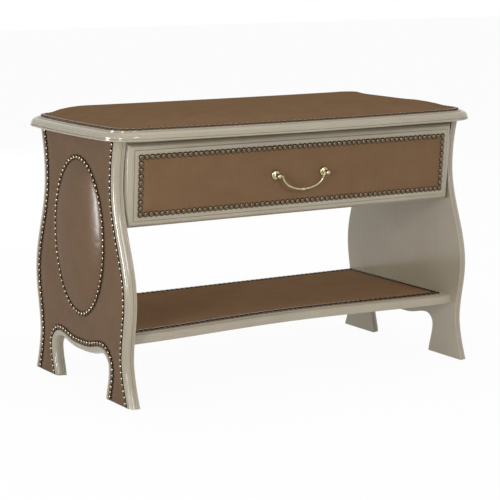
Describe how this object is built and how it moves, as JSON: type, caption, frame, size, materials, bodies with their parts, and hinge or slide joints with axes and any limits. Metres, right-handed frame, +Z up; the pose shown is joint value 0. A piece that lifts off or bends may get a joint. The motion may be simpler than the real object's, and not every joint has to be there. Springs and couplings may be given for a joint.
{
  "type": "upholstered hallway bench",
  "caption": "Upholstered hallway bench with a padded seat, shaped sides, a drawer on slides with a swinging handle, and a lower shelf.",
  "frame": {"origin": "on the floor under the middle of the bench's box", "axes": "+X along the bench to its right end, +Y to the rear, +Z up; the drawer faces -Y"},
  "size_m": [0.813, 0.4138, 0.5139],
  "materials": {
    "painted_wood": "warm grey-beige satin lacquer over wood",
    "plain_wood": "plain light wood, unpainted",
    "seat_vinyl": "smooth mocha vinyl, soft sheen",
    "side_vinyl": "smooth mocha vinyl, pearly sheen",
    "drawer_vinyl": "smooth mocha vinyl, matt",
    "shelf_vinyl": "smooth mocha vinyl, matt",
    "foam": "upholstery foam",
    "nail_bronze": "antique bronze, burnished on the domes",
    "handle_brass": "pale antique brass, polished",
    "zinc_steel": "zinc-plated steel"
  },
  "bodies": {
    "frame": {"arch_nail_strip_left": "nail_bronze", "arch_nail_strip_right": "nail_bronze", "back_panel": "painted_wood", "back_panel_screw_high_left": "zinc_steel", "back_panel_screw_high_right": "zinc_steel", "back_panel_screw_low_left": "zinc_steel", "back_panel_screw_low_right": "zinc_steel", "edge_nail_strip_front_left": "nail_bronze", "edge_nail_strip_front_right": "nail_bronze", "edge_nail_strip_rear_left": "nail_bronze", "edge_nail_strip_rear_right": "nail_bronze", "front_rail_screw_left": "zinc_steel", "front_rail_screw_right": "zinc_steel", "front_top_rail": "plain_wood", "lower_shelf": "painted_wood", "oval_nail_strip_left": "nail_bronze", "oval_nail_strip_right": "nail_bronze", "oval_pad_left": "side_vinyl", "oval_pad_right": "side_vinyl", "seat_cover": "seat_vinyl", "seat_foam": "foam", "seat_nail_strip": "nail_bronze", "shelf_nail_strip": "nail_bronze", "shelf_screw_front_left": "zinc_steel", "shelf_screw_front_right": "zinc_steel", "shelf_screw_rear_left": "zinc_steel", "shelf_screw_rear_right": "zinc_steel", "shelf_upholstery": "shelf_vinyl", "side_panel_left": "painted_wood", "side_panel_right": "painted_wood", "side_upholstery_left": "side_vinyl", "side_upholstery_right": "side_vinyl", "slide_cabinet_member_left": "zinc_steel", "slide_cabinet_member_right": "zinc_steel", "top_board": "painted_wood", "top_cleat_left": "plain_wood", "top_cleat_right": "plain_wood", "top_screw_front_left": "zinc_steel", "top_screw_front_right": "zinc_steel", "top_screw_rear_left": "zinc_steel", "top_screw_rear_right": "zinc_steel"},
    "drawer": {"drawer_front": "painted_wood", "drawer_front_upholstery": "drawer_vinyl", "drawer_nail_strip": "nail_bronze", "drawer_side_left": "plain_wood", "drawer_side_right": "plain_wood", "drawer_back": "plain_wood", "drawer_bottom": "plain_wood", "slide_drawer_member_left": "zinc_steel", "slide_drawer_member_right": "zinc_steel", "handle_post_left": "handle_brass", "handle_post_right": "handle_brass", "handle_screw_left": "zinc_steel", "handle_screw_right": "zinc_steel"},
    "slide_mid_left": {"slide_mid_member_left": "zinc_steel"},
    "slide_mid_right": {"slide_mid_member_right": "zinc_steel"},
    "bail": {"handle_bail": "handle_brass"}
  },
  "joints": [
    {"name": "drawer_slide", "type": "slide", "parent": "frame", "child": "drawer", "axis": [0, -1, 0], "range_m": [0, 0.25]},
    {"name": "slide_mid_left_travel", "type": "slide", "parent": "frame", "child": "slide_mid_left", "axis": [0, -1, 0], "range_m": [0, 0.125]},
    {"name": "slide_mid_right_travel", "type": "slide", "parent": "frame", "child": "slide_mid_right", "axis": [0, -1, 0], "range_m": [0, 0.125]},
    {"name": "bail_swing", "type": "hinge", "parent": "drawer", "child": "bail", "pos_m": [0, -0.17325, 0.39219], "axis": [-1, 0, 0], "range_deg": [-25, 180]}
  ],
  "couplings": [
    {"joint": "slide_mid_left_travel", "follows": "drawer_slide", "ratio": 0.5},
    {"joint": "slide_mid_right_travel", "follows": "drawer_slide", "ratio": 0.5}
  ]
}
